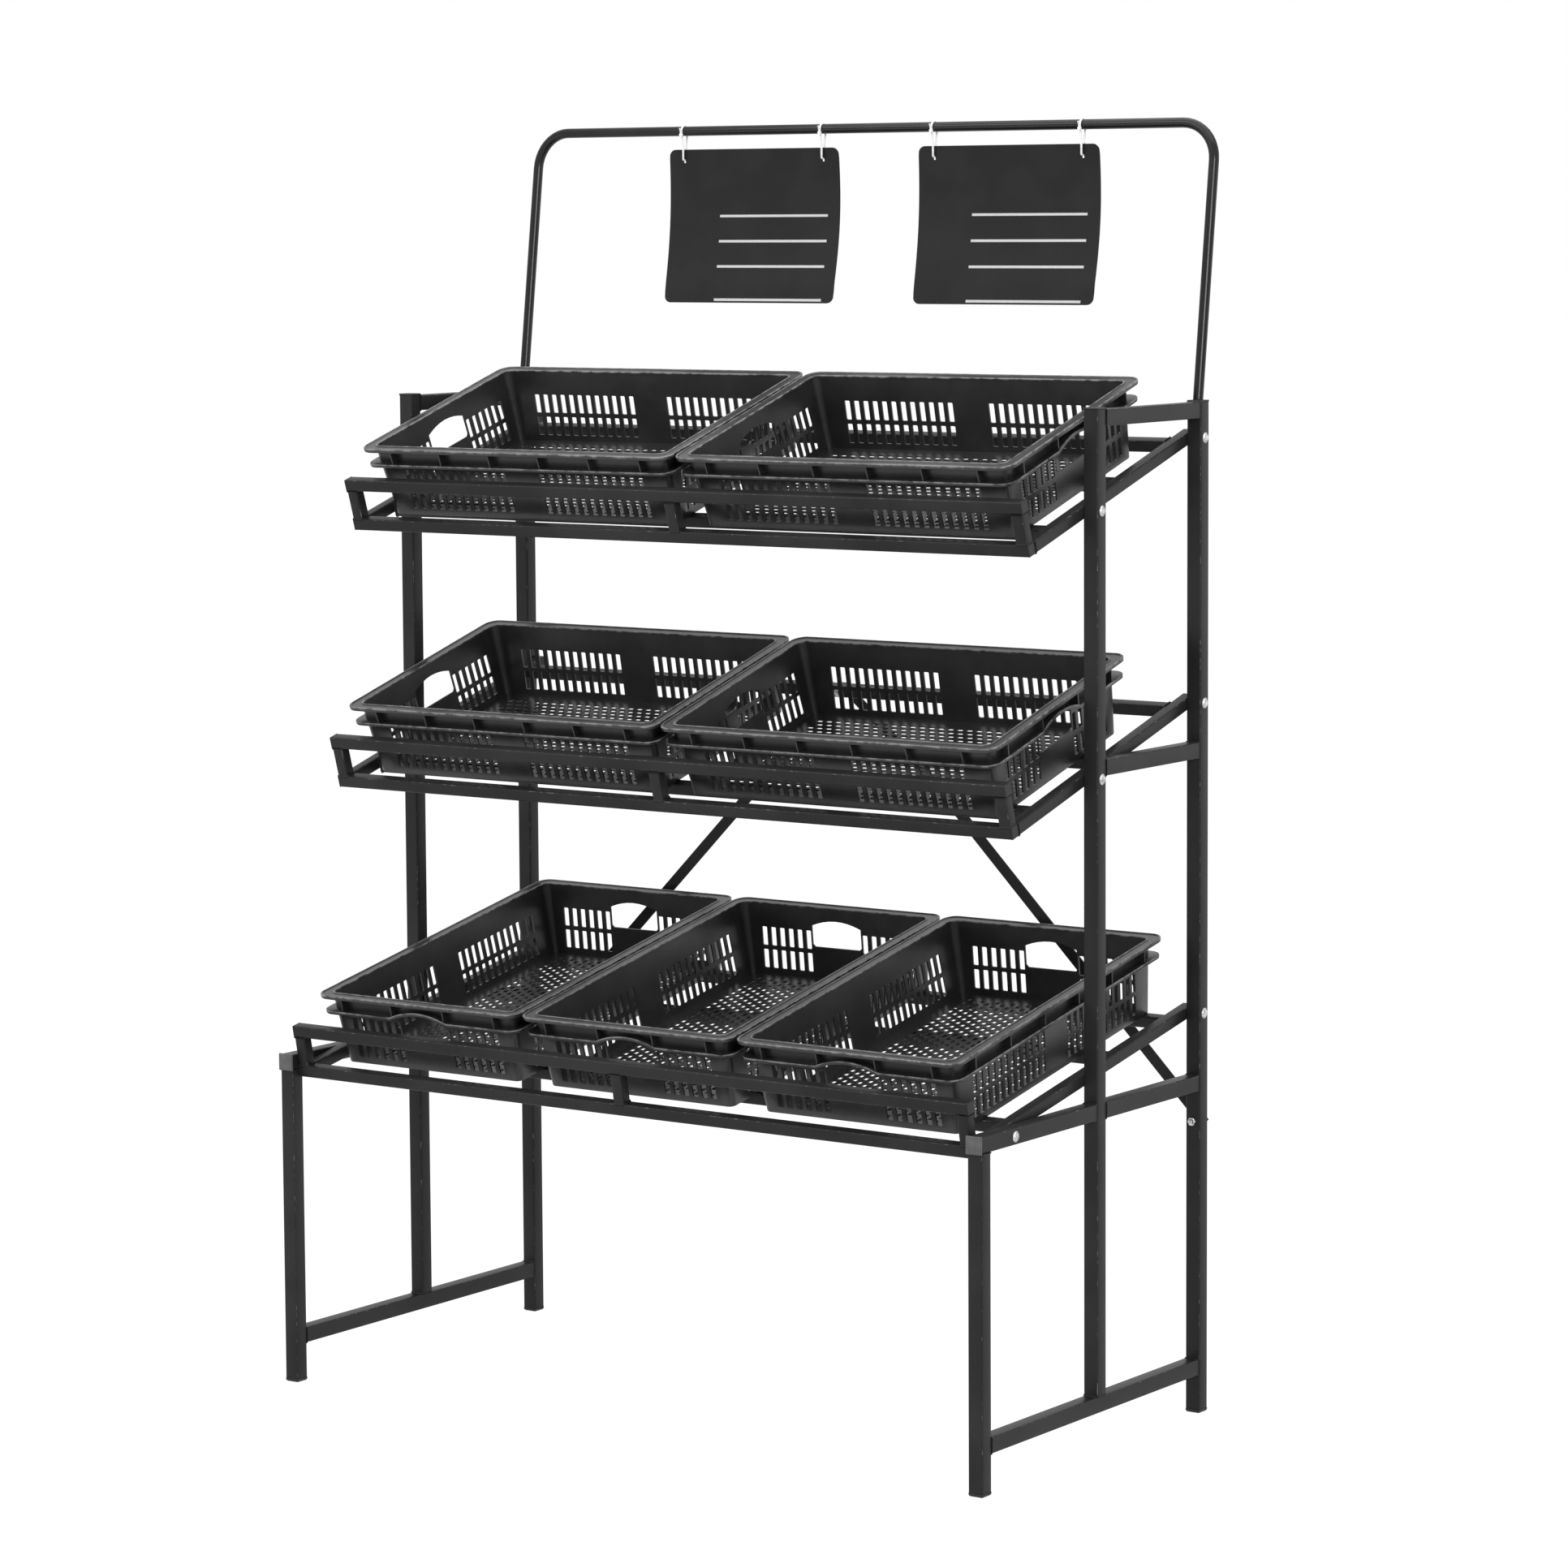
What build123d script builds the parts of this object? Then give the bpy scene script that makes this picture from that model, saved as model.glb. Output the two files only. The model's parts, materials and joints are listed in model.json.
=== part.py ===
import os
from math import cos, hypot, radians, sin, tan

from build123d import *

os.makedirs("parts", exist_ok=True)

# Side frames, welded from square steel tube
rack_width = 1325.0  # over the outer faces of the two side frames
rack_depth = 650.0  # front face of the front legs to rear face of the rear posts
post_height = 1570.0
mid_post_setback = 322.0  # front face of the front legs to front face of the mid posts
base_rail_top = 86.0
table_rail_top = 532.0
frame_tube = 25.0
frame_wall = 1.2

# Plastic feet, caps and plugs
foot_height = 6.0
foot_chamfer = 2.0
cap_height = 3.0
cap_overhang = 0.5
plug_depth = 14.0  # how far a stem reaches into its tube
plug_gap = 0.2  # play round a stem, each side
plug_chamfer = 1.0
table_plug_overhang = 1.0
table_plug_head = 4.0
shelf_plug_head = 2.0

# Shelves, from lighter square tube
shelf_tube = 19.0
shelf_wall = 1.0
lip_clear = 47.5  # open height between the front rail and the lip bar
back_rail_gap = 10.0  # back rail to the front faces of the rear posts
rail_overrun = 11.0  # side rails behind their rear bolts
top_tilt = 17.5
middle_tilt = 16.3
lower_tilt = 11.2
top_bolt_drop = 150.0  # post tops to where the top shelf's side rails cross the mid posts
middle_bolt_height = 1020.0
upper_rail_lift = 29.0  # top of the upper rails above the middle shelf's front bolts
lower_bolt_setback = 91.5  # bolt through the table rail, behind the front legs' front faces
top_reach = 172.0  # front face of the front rail ahead of the first bolt, down the slope
middle_reach = 220.0
lower_reach = 79.0
upper_supports = (95.0, 300.0)  # support rails behind the front rail's front face
lower_supports = (130.0, 430.0)
support_drop = 8.0  # rails under the crates below the plane of the other rails

# Fasteners with square necks
neck_size = 6.0
neck_gap = 0.2  # play round a neck, each side
head_across = 12.0
head_height = 4.0
nut_height = 5.0
bolt_bite = 8.0  # length past the last wall

# Cross brace
brace_width = 18.0
brace_thick = 3.0
brace_foot_drop = 73.0  # foot bolts below the tops of the table rails
brace_apex_spread = 14.0  # upper bolts either side of the middle
brace_flat = 480.0  # upright stretch above the foot bolt, below the crank to the back rail

# Sign frame, one bent bar
sign_bar = 16.0
sign_side_count = 12  # flats that make up its round section
sign_rise = 425.0  # post tops to the middle of the sign bar
sign_lean = 7.3
sign_end_gap = 17.4  # straight ends above the top shelf's rear bolts
sign_bend = 58.0
sign_foot_bend = 60.0
bush_gap = 0.2

# Price boards and their ties
board_width = 335.0
board_height = 250.0
board_thick = 2.0
board_corner = 12.0
board_places = {"left": -215.0, "right": 274.0}
tie_inset = 30.0  # ties from the board's side edges
tie_width = 3.0
tie_thick = 1.2
tie_gap = 0.3  # play between a tie and the sign bar
tie_drop = 46.0  # middle of the sign bar to a tie's flat bottom
tie_slot_width = 4.0
tie_slot_height = 6.0
board_margin = 16.0  # board above its tie slots

# Vented crates
crate_height = 120.0
crate_wall = 3.0
crate_floor = 3.0
crate_draft = 5.0
rim_corner = 13.0  # flat across each rim corner, eased again at both ends
rim_ease = 5.0
wall_corner = 20.0  # flat across each wall corner
rim_reach = 16.0  # rim past the wall top
rim_thick = 3.0
band_height = 24.0  # open band between the rim and the lower flange
flange_inset = 4.0  # lower flange inside the rim
rib_thick = 3.0
long_ribs = 3
short_ribs = 1
rib_pitch = 150.0
slot_height = 31.0
slot_rows = (11.0, 48.5)  # bottoms of the two rows of wall slots
long_slot_width = 56.0
long_slot_pitch = 74.0
long_middle_band = 70.0
short_slot_width = 40.0
short_slot_pitch = 52.0
short_middle_band = 104.0
handle_width = 96.0
handle_height = 34.0
handle_foot = 53.5  # bottom edge above the crate's base
handle_clip = 12.0  # upper corners
vent_margin = 60.0  # floor vents inside the rim's ends
vent_width = 12.0
vent_pitch = 90.0
vent_rows = 3
crate_lift_gap = 0.3  # crate floor above the support rails
crate_space = 6.0  # between neighbouring crates
upper_crate_side = 24.5  # two crates' rims inside the side frames
lower_crate_side = 31.5  # three crates' rims inside the side frames
upper_crate_gap = 3.0  # rim behind the lip bar
lower_crate_gap = 11.0

# Layout, with the origin under the middle of the whole rack
half_width = rack_width / 2
frame_x = half_width - frame_tube / 2
inner_x = half_width - frame_tube
lean_run = sign_rise * tan(radians(sign_lean))
rear_overhang = lean_run + (sign_bar - frame_tube) / 2 + tie_gap + tie_thick
front_y = (table_plug_head - rack_depth - rear_overhang) / 2
front_leg_y = front_y + frame_tube / 2
mid_post_y = front_y + mid_post_setback + frame_tube / 2
rear_post_y = front_y + rack_depth - frame_tube / 2
sign_bar_y = rear_post_y + lean_run
sign_bar_z = post_height + sign_rise
table_rail_z = table_rail_top - frame_tube / 2
top_bolt_height = post_height - top_bolt_drop
upper_rail_top = middle_bolt_height + upper_rail_lift
brace_foot_height = table_rail_top - brace_foot_drop
side_rail_x = inner_x - shelf_tube / 2
shelf_span = 2 * (inner_x - shelf_plug_head)
rail_span = 2 * (inner_x - shelf_tube)
crate_length = inner_x - upper_crate_side - crate_space / 2
crate_width = 2 * (inner_x - lower_crate_side - crate_space) / 3


def save(part, label):
    part.label = label
    export_step(part, f"parts/{label}.step")


def save_pair(part, label):
    save(part, f"right_{label}")
    with BuildPart() as twin:
        mirror(part, about=Plane.YZ)
    save(twin.part, f"left_{label}")


def both_sides(part):
    with BuildPart() as pair:
        add(part)
        mirror(part, about=Plane.YZ)
    return pair.part


def square_tube(start, size, wall, length, necks=()):
    with BuildPart() as tube:
        with BuildSketch(start):
            Rectangle(size, size)
            Rectangle(size - 2 * wall, size - 2 * wall, mode=Mode.SUBTRACT)
        extrude(amount=length)
        for neck in necks:
            with BuildSketch(neck):
                Rectangle(neck_size + 2 * neck_gap, neck_size + 2 * neck_gap)
            extrude(amount=2 * size, both=True, mode=Mode.SUBTRACT)
    return tube.part


def square_plug(seat, head_size, head_height, tube_size, tube_wall):
    stem = tube_size - 2 * (tube_wall + plug_gap)
    with BuildPart() as plug:
        with BuildSketch(seat):
            Rectangle(head_size, head_size)
        extrude(amount=head_height)
        outer = plug.faces().sort_by(Axis(seat.origin, seat.z_dir))[-1]
        chamfer(outer.edges(), plug_chamfer)
        with BuildSketch(seat):
            Rectangle(stem, stem)
        extrude(amount=-plug_depth)
    return plug.part


def square_neck_bolt(seat, length):
    with BuildPart() as bolt:
        with BuildSketch(seat):
            RegularPolygon(head_across / 2, 6, major_radius=False)
        extrude(amount=-head_height)
        with BuildSketch(seat):
            Rectangle(neck_size, neck_size)
        extrude(amount=length)
    return bolt.part


def hex_nut(seat):
    with BuildPart() as nut:
        with BuildSketch(seat):
            RegularPolygon(head_across / 2, 6, major_radius=False)
            Rectangle(neck_size + 2 * neck_gap, neck_size + 2 * neck_gap, mode=Mode.SUBTRACT)
        extrude(amount=nut_height)
    return nut.part


class Shelf:
    def __init__(self, name, bolt_y, bolt_z, tilt, reach, supports, crate_gap, crate_depth):
        self.name = name
        self.bolt_y = bolt_y
        self.bolt_z = bolt_z
        self.tilt = radians(tilt)
        self.reach = reach
        self.supports = supports
        self.crate_front = shelf_tube + crate_gap - reach
        self.plane = Plane(
            origin=(0, bolt_y, bolt_z),
            x_dir=(1, 0, 0),
            z_dir=(0, -sin(self.tilt), cos(self.tilt)),
        )
        self.rear_bolt = (rear_post_y - bolt_y) / cos(self.tilt)
        rear_face = (rear_post_y - frame_tube / 2 - back_rail_gap - bolt_y) / cos(self.tilt)
        self.back_rail = rear_face - shelf_tube / 2 * (1 + tan(self.tilt))
        behind_crates = self.back_rail - shelf_tube / 2 > self.crate_front + crate_depth
        self.back_drop = 0 if behind_crates else support_drop

    def point(self, x, y, z):
        return self.plane.from_local_coords((x, y, z))

    def across(self, y, z, length):
        return Plane(self.point(-length / 2, y, z), x_dir=self.plane.y_dir, z_dir=(1, 0, 0))

    def bolt_seat(self, y):
        seat = self.point(0, y, 0)
        return Plane((half_width, seat.Y, seat.Z), x_dir=self.plane.y_dir, z_dir=(-1, 0, 0))

    def bolt_seats(self):
        return [self.bolt_seat(0), self.bolt_seat(self.rear_bolt)]


top_shelf = Shelf(
    "top_shelf", mid_post_y, top_bolt_height, top_tilt, top_reach, upper_supports, upper_crate_gap,
    crate_width,
)
middle_shelf = Shelf(
    "middle_shelf", mid_post_y, middle_bolt_height, middle_tilt, middle_reach, upper_supports,
    upper_crate_gap, crate_width,
)
lower_shelf = Shelf(
    "lower_shelf", front_y + lower_bolt_setback, table_rail_z, lower_tilt, lower_reach, lower_supports,
    lower_crate_gap, crate_length,
)
shelves = (top_shelf, middle_shelf, lower_shelf)
upper_shelves = (top_shelf, middle_shelf)

# Bolt axes through the posts, the table rails and the shelves' own rails
mid_post_necks = [shelf.bolt_seat(0) for shelf in upper_shelves]
rear_post_necks = [shelf.bolt_seat(shelf.rear_bolt) for shelf in shelves]
rear_face_y = rear_post_y + frame_tube / 2
rail_rear = middle_shelf.back_rail + shelf_tube / 2
brace_foot = Plane(
    (frame_x, rear_face_y + brace_thick, brace_foot_height), x_dir=(1, 0, 0), z_dir=(0, -1, 0)
)
brace_head = Plane(
    middle_shelf.point(brace_apex_spread, rail_rear + brace_thick, -middle_shelf.back_drop),
    x_dir=(1, 0, 0),
    z_dir=-middle_shelf.plane.y_dir,
)
brace_head_left = Plane(
    middle_shelf.point(-brace_apex_spread, rail_rear + brace_thick, -middle_shelf.back_drop),
    x_dir=(1, 0, 0),
    z_dir=-middle_shelf.plane.y_dir,
)


def upright(y, bottom, top, necks=()):
    start = Plane((frame_x, y, bottom))
    return square_tube(start, frame_tube, frame_wall, top - bottom, necks)


def frame_rail(y_start, y_end, top, necks=()):
    start = Plane((frame_x, y_start, top - frame_tube / 2), x_dir=(1, 0, 0), z_dir=(0, 1, 0))
    return square_tube(start, frame_tube, frame_wall, y_end - y_start, necks)


# Side frames
mid_post_front = mid_post_y - frame_tube / 2
mid_post_rear = mid_post_y + frame_tube / 2
rear_post_front = rear_post_y - frame_tube / 2
save_pair(upright(front_leg_y, foot_height, table_rail_top - frame_tube), "front_leg")
save_pair(upright(mid_post_y, base_rail_top, post_height, mid_post_necks), "mid_post")
save_pair(upright(rear_post_y, foot_height, post_height, rear_post_necks + [brace_foot]), "rear_post")
save_pair(frame_rail(front_y + frame_tube, rear_post_front, base_rail_top), "base_rail")
table_rail_front = frame_rail(front_y, mid_post_front, table_rail_top, [lower_shelf.bolt_seat(0)])
save_pair(table_rail_front, "table_rail_front")
save_pair(frame_rail(mid_post_rear, rear_post_front, table_rail_top), "table_rail_rear")
save_pair(frame_rail(mid_post_rear, rear_post_front, upper_rail_top), "upper_rail")
save_pair(frame_rail(mid_post_rear, rear_post_front, post_height), "top_rail")

# Feet in the front legs and rear posts
with BuildPart() as feet:
    for leg_y in (front_leg_y, rear_post_y):
        with BuildSketch(Plane((frame_x, leg_y, 0))):
            Rectangle(frame_tube, frame_tube)
        extrude(amount=foot_height)
    soles = feet.faces().group_by(Axis.Z)[0]
    chamfer(soles.edges(), foot_chamfer)
    stem = frame_tube - 2 * (frame_wall + plug_gap)
    for leg_y in (front_leg_y, rear_post_y):
        with BuildSketch(Plane((frame_x, leg_y, foot_height))):
            Rectangle(stem, stem)
        extrude(amount=plug_depth)
    mirror(about=Plane.YZ)
save(feet.part, "leg_feet")

# Caps on the mid posts, plugs in the front ends of the table rails
cap_seat = Plane((frame_x, mid_post_y, post_height))
cap = square_plug(cap_seat, frame_tube + 2 * cap_overhang, cap_height, frame_tube, frame_wall)
save(both_sides(cap), "mid_post_caps")
plug_seat = Plane((frame_x, front_y, table_rail_z), x_dir=(1, 0, 0), z_dir=(0, -1, 0))
table_plug = square_plug(
    plug_seat, frame_tube + 2 * table_plug_overhang, table_plug_head, frame_tube, frame_wall
)
save(both_sides(table_plug), "table_rail_plugs")

# Bushes that carry the sign frame in the rear posts
with BuildPart() as bush:
    with BuildSketch(Plane((frame_x, rear_post_y, post_height))):
        Rectangle(frame_tube, frame_tube)
    extrude(amount=cap_height)
    with BuildSketch(Plane((frame_x, rear_post_y, post_height))):
        Rectangle(stem, stem)
    extrude(amount=-plug_depth)
    with BuildSketch(Plane((frame_x, rear_post_y, post_height - plug_depth))):
        RegularPolygon(sign_bar / 2 + bush_gap, sign_side_count)
    extrude(amount=plug_depth + cap_height, mode=Mode.SUBTRACT)
save(both_sides(bush.part), "sign_bushes")

# Shelves: front rail, lip bar on three short posts, side rails, support rails and back rail
lip_z = shelf_tube + lip_clear
plugs = []
bolts = []
for shelf in shelves:
    front_rail_y = shelf_tube / 2 - shelf.reach
    start = shelf.across(front_rail_y, 0, shelf_span)
    save(square_tube(start, shelf_tube, shelf_wall, shelf_span), f"{shelf.name}_front_rail")
    start = shelf.across(front_rail_y, lip_z, shelf_span)
    save(square_tube(start, shelf_tube, shelf_wall, shelf_span), f"{shelf.name}_lip_bar")

    with BuildPart() as lip_posts:
        for x in (-1, 0, 1):
            foot = shelf.point(x * (shelf_span - shelf_tube) / 2, front_rail_y, shelf_tube / 2)
            add(square_tube(Plane(foot, (1, 0, 0), shelf.plane.z_dir), shelf_tube, shelf_wall, lip_clear))
    save(lip_posts.part, f"{shelf.name}_lip_posts")

    rail_front = shelf.point(side_rail_x, front_rail_y + shelf_tube / 2, 0)
    start = Plane(rail_front, (1, 0, 0), shelf.plane.y_dir)
    rail_length = shelf.reach - shelf_tube + shelf.rear_bolt + rail_overrun
    side_rail = square_tube(start, shelf_tube, shelf_wall, rail_length)
    with BuildPart() as drilled_rail:
        add(side_rail)
        for seat in shelf.bolt_seats():
            with BuildSketch(seat):
                Rectangle(neck_size + 2 * neck_gap, neck_size + 2 * neck_gap)
            extrude(amount=frame_tube + shelf_tube / 2, mode=Mode.SUBTRACT)
    save(both_sides(drilled_rail.part), f"{shelf.name}_side_rails")

    with BuildPart() as support_rails:
        for setback in shelf.supports:
            start = shelf.across(setback - shelf.reach, -support_drop, rail_span)
            add(square_tube(start, shelf_tube, shelf_wall, rail_span))
    save(support_rails.part, f"{shelf.name}_support_rails")

    necks = [brace_head, brace_head_left] if shelf is middle_shelf else []
    start = shelf.across(shelf.back_rail, -shelf.back_drop, rail_span)
    save(square_tube(start, shelf_tube, shelf_wall, rail_span, necks), f"{shelf.name}_back_rail")

    for z in (0, lip_z):
        end = Plane(shelf.point(shelf_span / 2, front_rail_y, z), shelf.plane.y_dir, (1, 0, 0))
        plugs.append(square_plug(end, shelf_tube, shelf_plug_head, shelf_tube, shelf_wall))
    for seat in shelf.bolt_seats():
        bolts.append(square_neck_bolt(seat, frame_tube + bolt_bite))

with BuildPart() as rail_plugs:
    add(plugs)
    mirror(about=Plane.YZ)
save(rail_plugs.part, "shelf_rail_plugs")
with BuildPart() as shelf_bolts:
    add(bolts)
    mirror(about=Plane.YZ)
save(shelf_bolts.part, "shelf_bolts")

# Cross brace: two flat bars from the rear posts up to the middle shelf's back rail
rail_foot = middle_shelf.point(0, rail_rear, -shelf_tube / 2 - middle_shelf.back_drop)
rail_head = middle_shelf.point(0, rail_rear, shelf_tube / 2 - middle_shelf.back_drop)
bend_z = brace_foot_height + brace_flat
front_line = [
    (rear_face_y, brace_foot_height - brace_width),
    (rear_face_y, bend_z),
    (rail_foot.Y, rail_foot.Z),
    (rail_head.Y, rail_head.Z),
]
rear_line = [(y + brace_thick, z) for y, z in reversed(front_line)]
foot_point = brace_foot.origin
head_point = brace_head.origin
run = foot_point.X - head_point.X
rise = head_point.Z - foot_point.Z
with BuildPart() as brace:
    with BuildSketch(Plane.YZ):
        with BuildLine():
            Polyline(*front_line, *rear_line, close=True)
        make_face()
    extrude(amount=rack_width)
    middle = ((foot_point.X + head_point.X) / 2, rear_face_y, (foot_point.Z + head_point.Z) / 2)
    with BuildSketch(Plane(middle, x_dir=(run, 0, -rise), z_dir=(0, 1, 0))):
        Rectangle(hypot(run, rise) + brace_width, brace_width)
    extrude(amount=rack_depth, both=True, mode=Mode.INTERSECT)
    for seat in (brace_foot, brace_head):
        with BuildSketch(seat):
            Rectangle(neck_size + 2 * neck_gap, neck_size + 2 * neck_gap)
        extrude(amount=2 * brace_thick, both=True, mode=Mode.SUBTRACT)
save_pair(brace.part, "brace")

foot_length = brace_thick + frame_tube + nut_height + brace_thick
head_length = brace_thick + shelf_tube + nut_height + brace_thick
with BuildPart() as brace_bolts:
    add(square_neck_bolt(brace_foot, foot_length))
    add(square_neck_bolt(brace_head, head_length))
    mirror(about=Plane.YZ)
save(brace_bolts.part, "brace_bolts")
with BuildPart() as brace_nuts:
    add(hex_nut(brace_foot.offset(brace_thick + frame_tube)))
    add(hex_nut(brace_head.offset(brace_thick + shelf_tube)))
    mirror(about=Plane.YZ)
save(brace_nuts.part, "brace_nuts")

# Sign frame: straight ends in the posts, leaning sides and one bar across
foot_bend_z = post_height + cap_height
sign_end_z = top_shelf.point(0, top_shelf.rear_bolt, 0).Z + sign_end_gap
right_side = [
    (frame_x, rear_post_y, sign_end_z),
    (frame_x, rear_post_y, foot_bend_z),
    (frame_x, sign_bar_y, sign_bar_z),
]
left_side = [(-x, y, z) for x, y, z in reversed(right_side)]
bends = [sign_foot_bend, sign_bend, sign_bend, sign_foot_bend]
with BuildPart() as sign_frame:
    with BuildLine() as sign_path:
        FilletPolyline(*right_side, *left_side, radius=bends)
    with BuildSketch(Plane(right_side[0])):
        RegularPolygon(sign_bar / 2, sign_side_count)
    sweep(path=sign_path.wires()[0])
save(sign_frame.part, "sign_frame")

# Price boards hang from the sign bar on two strap ties each
tie_bore = sign_bar + 2 * tie_gap
tie_bottom = sign_bar_z - tie_drop
board_top = tie_bottom + board_margin
board_z = board_top - board_height / 2
slot_z = tie_bottom - tie_slot_height / 2
tie_reach = board_width / 2 - tie_inset
for side, board_x in board_places.items():
    with BuildPart() as board:
        board_front = Plane((board_x, sign_bar_y - board_thick / 2, board_z), (1, 0, 0), (0, -1, 0))
        with BuildSketch(board_front):
            RectangleRounded(board_width, board_height, board_corner)
            with Locations((-tie_reach, slot_z - board_z), (tie_reach, slot_z - board_z)):
                Rectangle(tie_slot_width, tie_slot_height, mode=Mode.SUBTRACT)
        extrude(amount=-board_thick)
    save(board.part, f"{side}_price_board")
    with BuildPart() as ties:
        for x in (board_x - tie_reach, board_x + tie_reach):
            tie_side = Plane((x - tie_width / 2, sign_bar_y, sign_bar_z), (0, 1, 0), (1, 0, 0))
            with BuildSketch(tie_side) as inside:
                RegularPolygon(tie_bore / 2, 8, major_radius=False, rotation=180 / 8)
                with Locations((0, -tie_drop / 2)):
                    Rectangle(tie_bore, tie_drop)
            extrude(offset(inside.sketch, tie_thick, kind=Kind.INTERSECTION), amount=tie_width)
            extrude(inside.sketch, amount=tie_width, mode=Mode.SUBTRACT)
    save(ties.part, f"{side}_board_ties")

# Vented crate, built once about the middle of its floor
wall_lean = crate_height * tan(radians(crate_draft))
base_length = crate_length - 2 * (rim_reach + wall_lean)
base_width = crate_width - 2 * (rim_reach + wall_lean)
floor_lean = crate_floor * tan(radians(crate_draft))
inner_length = base_length + 2 * (floor_lean - crate_wall)
inner_width = base_width + 2 * (floor_lean - crate_wall)
inner_corner = wall_corner - crate_wall * (2 - 2**0.5)
flange_top = crate_height - rim_thick - band_height
flange_length = crate_length - 2 * flange_inset
flange_width = crate_width - 2 * flange_inset
row_heights = [bottom + slot_height / 2 for bottom in slot_rows]
long_block_room = base_length / 2 - wall_corner - long_middle_band / 2
short_block_room = base_width / 2 - wall_corner - short_middle_band / 2
long_slots = 1 + int((long_block_room - long_slot_width) / long_slot_pitch)
short_slots = 1 + int((short_block_room - short_slot_width) / short_slot_pitch)
long_block = (long_middle_band + (long_slots - 1) * long_slot_pitch + long_slot_width) / 2
short_block = (short_middle_band + (short_slots - 1) * short_slot_pitch + short_slot_width) / 2
vent_length = (crate_length - long_middle_band) / 2 - vent_margin


def tapered_block(length, width, corner, bottom, mode):
    sections = []
    for lift, spread in ((0, 0), (crate_height, wall_lean)):
        with BuildSketch(Plane.XY.offset(bottom + lift)) as outline:
            Rectangle(length + 2 * spread, width + 2 * spread)
            chamfer(outline.vertices(), corner)
        sections.append(outline.sketch)
    loft(sections, ruled=True, mode=mode)


def eased_plate(length, width, bottom):
    with BuildSketch(Plane.XY.offset(bottom)) as outline:
        Rectangle(length, width)
        chamfer(outline.vertices(), rim_corner)
        chamfer(outline.vertices(), rim_ease)
    extrude(outline.sketch, amount=rim_thick)


with BuildPart() as crate:
    tapered_block(base_length, base_width, wall_corner, 0, Mode.ADD)
    eased_plate(crate_length, crate_width, crate_height - rim_thick)
    eased_plate(flange_length, flange_width, flange_top - rim_thick)
    with BuildSketch(Plane.XY.offset(flange_top)):
        with GridLocations(rib_pitch, 0, long_ribs, 1):
            Rectangle(rib_thick, flange_width)
        with GridLocations(0, rib_pitch, 1, short_ribs):
            Rectangle(flange_length, rib_thick)
    extrude(amount=band_height)
    tapered_block(inner_length, inner_width, inner_corner, crate_floor, Mode.SUBTRACT)
    with BuildSketch(Plane.XZ):
        with Locations(*[(x, z) for x in (-long_block, long_block) for z in row_heights]):
            with GridLocations(long_slot_pitch, 0, long_slots, 1):
                Rectangle(long_slot_width, slot_height)
    extrude(amount=crate_width, both=True, mode=Mode.SUBTRACT)
    with BuildSketch(Plane.YZ) as end_wall:
        with Locations((0, handle_foot + handle_height / 2)):
            Rectangle(handle_width, handle_height)
        chamfer(end_wall.vertices().group_by(Axis.Y)[-1], handle_clip)
        with Locations(*[(y, z) for y in (-short_block, short_block) for z in row_heights]):
            with GridLocations(short_slot_pitch, 0, short_slots, 1):
                Rectangle(short_slot_width, slot_height)
    extrude(amount=crate_length, both=True, mode=Mode.SUBTRACT)
    with BuildSketch():
        with GridLocations(vent_length + long_middle_band, vent_pitch, 2, vent_rows):
            Rectangle(vent_length, vent_width)
    extrude(amount=crate_floor, mode=Mode.SUBTRACT)

# Two crates lie along each upper shelf, three stand end-on along the lower shelf
upper_places = {"left": -1, "right": 1}
lower_places = {"left": -1, "centre": 0, "right": 1}
crate_z = shelf_tube / 2 + crate_lift_gap - support_drop
for shelf in shelves:
    end_on = shelf is lower_shelf
    depth = crate_length if end_on else crate_width
    pitch = crate_width + crate_space if end_on else (crate_length + crate_space) / 2
    crate_y = shelf.crate_front + depth / 2
    along = shelf.plane.y_dir if end_on else shelf.plane.x_dir
    for place, step in (lower_places if end_on else upper_places).items():
        stand = Plane(shelf.point(step * pitch, crate_y, crate_z), along, shelf.plane.z_dir)
        with BuildPart() as placed:
            with Locations(Location(stand)):
                add(crate.part)
        save(placed.part, f"{shelf.name}_{place}_crate")
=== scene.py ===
import json
import math

import bmesh
import bpy
from mathutils import Matrix, Vector

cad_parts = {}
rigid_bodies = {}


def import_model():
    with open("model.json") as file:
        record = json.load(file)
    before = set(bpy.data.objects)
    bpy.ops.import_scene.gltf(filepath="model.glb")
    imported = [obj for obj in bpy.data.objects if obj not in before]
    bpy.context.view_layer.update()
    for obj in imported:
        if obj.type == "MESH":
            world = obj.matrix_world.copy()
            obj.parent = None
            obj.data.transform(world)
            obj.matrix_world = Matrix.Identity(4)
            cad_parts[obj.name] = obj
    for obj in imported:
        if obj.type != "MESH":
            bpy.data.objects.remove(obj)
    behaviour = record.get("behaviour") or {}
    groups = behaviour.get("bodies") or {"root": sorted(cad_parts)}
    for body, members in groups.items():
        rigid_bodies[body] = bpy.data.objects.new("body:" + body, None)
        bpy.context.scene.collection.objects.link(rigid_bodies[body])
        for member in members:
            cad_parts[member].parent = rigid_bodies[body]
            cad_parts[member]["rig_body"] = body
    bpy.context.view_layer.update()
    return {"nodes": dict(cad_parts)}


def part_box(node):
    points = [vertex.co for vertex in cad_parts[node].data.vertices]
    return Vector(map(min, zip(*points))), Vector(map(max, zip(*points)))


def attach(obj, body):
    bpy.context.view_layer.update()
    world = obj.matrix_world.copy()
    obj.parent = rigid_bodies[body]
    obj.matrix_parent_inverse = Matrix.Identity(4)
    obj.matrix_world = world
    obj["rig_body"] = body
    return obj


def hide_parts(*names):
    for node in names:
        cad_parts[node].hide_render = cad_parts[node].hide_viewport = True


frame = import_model()
nodes = frame["nodes"]
mm = 0.001


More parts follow.
